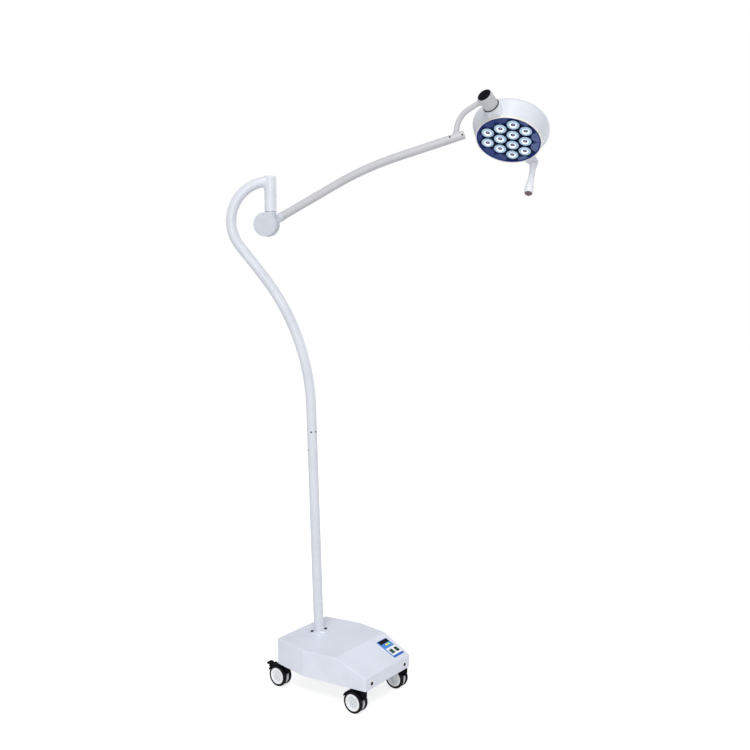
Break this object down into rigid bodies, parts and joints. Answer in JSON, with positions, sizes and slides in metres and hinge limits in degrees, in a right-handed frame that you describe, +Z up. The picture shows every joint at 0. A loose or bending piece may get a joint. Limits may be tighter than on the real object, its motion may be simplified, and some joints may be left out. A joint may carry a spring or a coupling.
{
  "type": "surgical light",
  "caption": "Mobile surgical light: weighted base on braked twin-wheel casters, curved mast, friction arm and round LED head with handle.",
  "frame": {"origin": "on the floor, at the centre of the four caster stems", "axes": "+Z up, -Y towards the sloped control-panel end of the base, +X to the base's right"},
  "size_m": [0.7157, 0.9166, 2.0694],
  "materials": {
    "white_paint": "satin powder coat on steel",
    "white_alloy": "white powder coat on cast alloy",
    "white_plastic": "smooth white moulding",
    "steel": "zinc plated",
    "dark_steel": "black oxide",
    "iron": "as cast",
    "bronze": "machined",
    "black_plastic": "matt",
    "overlay_blue": "printed film",
    "window_black": "gloss",
    "button_green": "soft matt",
    "board_green": "solder mask",
    "panel_navy": "gloss",
    "lens_clear": "clear acrylic",
    "heat_alloy": "mill finish",
    "grey_plastic": "moulded nylon",
    "tyre_grey": "thermoplastic rubber tread on a nylon wheel"
  },
  "bodies": {
    "base": {"base_cover": "white_paint", "chassis_plate": "steel", "ballast_block": "iron", "power_supply": "heat_alloy", "mast_pedestal": "white_paint", "base_screws": "dark_steel", "panel_overlay": "overlay_blue", "display_window": "window_black", "control_board": "board_green", "power_entry": "black_plastic", "inlet_pins": "bronze", "caster_stems": "steel", "mast_flange": "white_paint", "mast_lower_tube": "white_paint", "mast_joint_spigot": "steel", "mast_upper_tube": "white_paint", "mast_set_screws": "dark_steel", "swivel_sleeve": "white_paint", "swivel_bushes": "bronze"},
    "button_dimmer": {"button_dimmer": "button_green"},
    "button_brighter": {"button_brighter": "button_green"},
    "rocker": {"power_rocker": "black_plastic"},
    "caster_fl": {"caster_fl_fork": "black_plastic"},
    "wheel_fl_outer": {"caster_fl_wheel_outer": "tyre_grey"},
    "wheel_fl_inner": {"caster_fl_wheel_inner": "tyre_grey"},
    "caster_fr": {"caster_fr_fork": "black_plastic"},
    "wheel_fr_outer": {"caster_fr_wheel_outer": "tyre_grey"},
    "wheel_fr_inner": {"caster_fr_wheel_inner": "tyre_grey"},
    "caster_rl": {"caster_rl_fork": "black_plastic"},
    "wheel_rl_outer": {"caster_rl_wheel_outer": "tyre_grey"},
    "wheel_rl_inner": {"caster_rl_wheel_inner": "tyre_grey"},
    "brake_rl": {"caster_rl_brake": "black_plastic"},
    "caster_rr": {"caster_rr_fork": "black_plastic"},
    "wheel_rr_outer": {"caster_rr_wheel_outer": "tyre_grey"},
    "wheel_rr_inner": {"caster_rr_wheel_inner": "tyre_grey"},
    "brake_rr": {"caster_rr_brake": "black_plastic"},
    "elbow": {"elbow_knuckle": "white_paint", "elbow_front_cap": "white_plastic", "friction_disc": "black_plastic", "elbow_bolt": "dark_steel", "swivel_spindle": "steel", "spindle_nut": "dark_steel"},
    "arm": {"arm_knuckle": "white_paint", "elbow_rear_cap": "white_plastic", "arm_tube": "white_paint", "arm_end_block": "white_paint", "arm_end_screws": "dark_steel"},
    "yoke": {"yoke_tube": "white_paint"},
    "barrel": {"tilt_barrel": "white_alloy", "barrel_cap": "black_plastic", "barrel_washer": "black_plastic"},
    "head": {"tilt_spindle": "steel", "head_shell": "white_alloy", "front_ring": "white_plastic", "lens_panel": "panel_navy", "lenses": "lens_clear", "led_board": "board_green", "heat_sink": "heat_alloy", "handle_bracket": "white_alloy"},
    "handle": {"handle": "white_plastic"}
  },
  "joints": [
    {"name": "button_dimmer_press", "type": "slide", "parent": "base", "child": "button_dimmer", "axis": [0, 0.3801, -0.925], "range_m": [0, 0.001], "stiffness_N_per_m": 3000, "springref_m": -0.0003},
    {"name": "button_brighter_press", "type": "slide", "parent": "base", "child": "button_brighter", "axis": [0, 0.3801, -0.925], "range_m": [0, 0.001], "stiffness_N_per_m": 3000, "springref_m": -0.0003},
    {"name": "rocker_tip", "type": "hinge", "parent": "base", "child": "rocker", "pos_m": [-0.054, 0.199, 0.128], "axis": [1, 0, 0], "range_deg": [-16, 0]},
    {"name": "caster_fl_swivel", "type": "hinge", "parent": "base", "child": "caster_fl", "pos_m": [-0.118, -0.172, 0.076], "axis": [0, 0, 1], "continuous": true},
    {"name": "wheel_fl_outer_roll", "type": "hinge", "parent": "caster_fl", "child": "wheel_fl_outer", "pos_m": [-0.131, -0.14, 0.0375], "axis": [1, 0, 0], "continuous": true},
    {"name": "wheel_fl_inner_roll", "type": "hinge", "parent": "caster_fl", "child": "wheel_fl_inner", "pos_m": [-0.105, -0.14, 0.0375], "axis": [1, 0, 0], "continuous": true},
    {"name": "caster_fr_swivel", "type": "hinge", "parent": "base", "child": "caster_fr", "pos_m": [0.118, -0.172, 0.076], "axis": [0, 0, 1], "continuous": true},
    {"name": "wheel_fr_outer_roll", "type": "hinge", "parent": "caster_fr", "child": "wheel_fr_outer", "pos_m": [0.131, -0.14, 0.0375], "axis": [1, 0, 0], "continuous": true},
    {"name": "wheel_fr_inner_roll", "type": "hinge", "parent": "caster_fr", "child": "wheel_fr_inner", "pos_m": [0.105, -0.14, 0.0375], "axis": [1, 0, 0], "continuous": true},
    {"name": "caster_rl_swivel", "type": "hinge", "parent": "base", "child": "caster_rl", "pos_m": [-0.118, 0.172, 0.076], "axis": [0, 0, 1], "continuous": true},
    {"name": "wheel_rl_outer_roll", "type": "hinge", "parent": "caster_rl", "child": "wheel_rl_outer", "pos_m": [-0.131, 0.204, 0.0375], "axis": [1, 0, 0], "continuous": true},
    {"name": "wheel_rl_inner_roll", "type": "hinge", "parent": "caster_rl", "child": "wheel_rl_inner", "pos_m": [-0.105, 0.204, 0.0375], "axis": [1, 0, 0], "continuous": true},
    {"name": "brake_rl_press", "type": "hinge", "parent": "caster_rl", "child": "brake_rl", "pos_m": [-0.118, 0.2385, 0.0675], "axis": [1, 0, 0], "range_deg": [-20, 0]},
    {"name": "caster_rr_swivel", "type": "hinge", "parent": "base", "child": "caster_rr", "pos_m": [0.118, 0.172, 0.076], "axis": [0, 0, 1], "continuous": true},
    {"name": "wheel_rr_outer_roll", "type": "hinge", "parent": "caster_rr", "child": "wheel_rr_outer", "pos_m": [0.131, 0.204, 0.0375], "axis": [1, 0, 0], "continuous": true},
    {"name": "wheel_rr_inner_roll", "type": "hinge", "parent": "caster_rr", "child": "wheel_rr_inner", "pos_m": [0.105, 0.204, 0.0375], "axis": [1, 0, 0], "continuous": true},
    {"name": "brake_rr_press", "type": "hinge", "parent": "caster_rr", "child": "brake_rr", "pos_m": [0.118, 0.2385, 0.0675], "axis": [1, 0, 0], "range_deg": [-20, 0]},
    {"name": "elbow_swivel", "type": "hinge", "parent": "base", "child": "elbow", "pos_m": [-0.09448, 0.24739, 1.74], "axis": [0, 0, 1], "range_deg": [-140, 140]},
    {"name": "arm_lift", "type": "hinge", "parent": "elbow", "child": "arm", "pos_m": [-0.10141, 0.26069, 1.6388], "axis": [0.887, 0.4617, 0], "range_deg": [-6, 50]},
    {"name": "yoke_swivel", "type": "hinge", "parent": "arm", "child": "yoke", "pos_m": [0.21073, -0.31294, 1.9198], "axis": [0, 0, 1], "range_deg": [-112, 74]},
    {"name": "barrel_turn", "type": "hinge", "parent": "yoke", "child": "barrel", "pos_m": [0.24142, -0.40738, 2.0403], "axis": [0.2708, -0.8334, 0.4818], "range_deg": [-44, 54]},
    {"name": "head_tilt", "type": "hinge", "parent": "barrel", "child": "head", "pos_m": [0.24142, -0.40738, 2.0403], "axis": [0.8411, -0.0386, -0.5395], "range_deg": [-70, 70]},
    {"name": "handle_pull", "type": "slide", "parent": "head", "child": "handle", "axis": [-0.5395, -0.1319, -0.8316], "range_m": [0, 0.04]}
  ]
}
